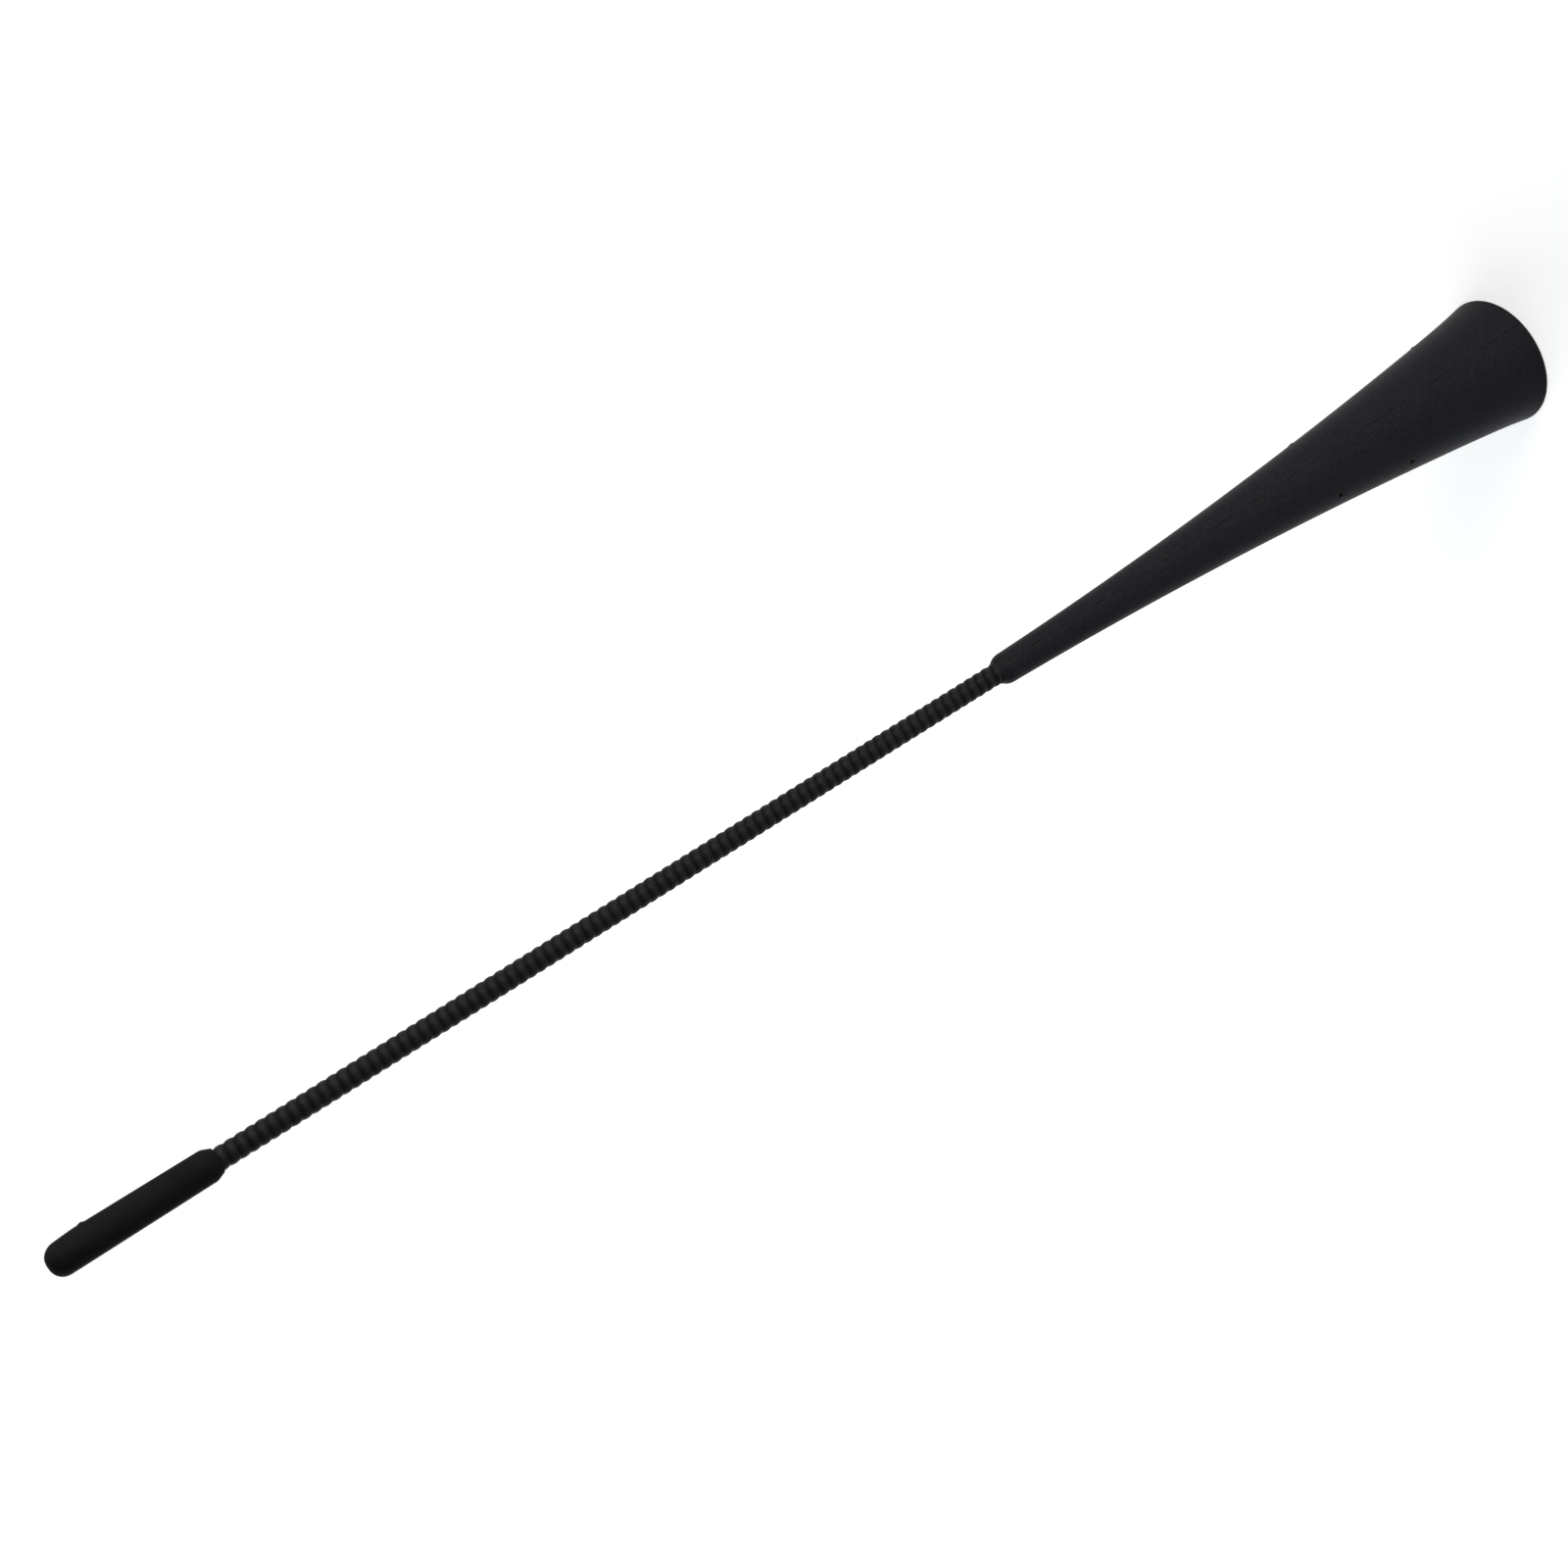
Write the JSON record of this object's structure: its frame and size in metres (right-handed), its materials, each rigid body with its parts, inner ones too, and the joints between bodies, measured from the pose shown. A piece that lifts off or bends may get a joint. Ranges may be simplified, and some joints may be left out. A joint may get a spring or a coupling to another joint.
{
  "type": "car mast aerial",
  "caption": "Upright car-roof mast aerial: flared rubber boot with a hollow skirt and threaded stud, slim helically ribbed whip and a domed tip cap.",
  "frame": {"origin": "centre of the boot's rim, on the plane that the rim stands on", "axes": "+Z along the mast, from the rim to the tip; X and Y are free, because the mast is round"},
  "size_m": [0.0258, 0.0258, 0.325],
  "materials": {
    "boot_rubber": "matt black moulded rubber with a fine spark-eroded grain",
    "sleeve_plastic": "satin black sleeve with one helical rib",
    "cap_plastic": "satin black moulding",
    "glass_fibre": "drawn glass-fibre rod",
    "copper_wire": "fine enamelled copper wire, wound turn against turn",
    "insert_brass": "turned brass",
    "stud_steel": "zinc-plated steel thread"
  },
  "bodies": {
    "root": {"boot": "boot_rubber", "whip_sleeve": "sleeve_plastic", "tip_cap": "cap_plastic", "whip_core": "glass_fibre", "antenna_winding": "copper_wire", "foot_insert": "insert_brass", "mounting_stud": "stud_steel"}
  },
  "joints": []
}
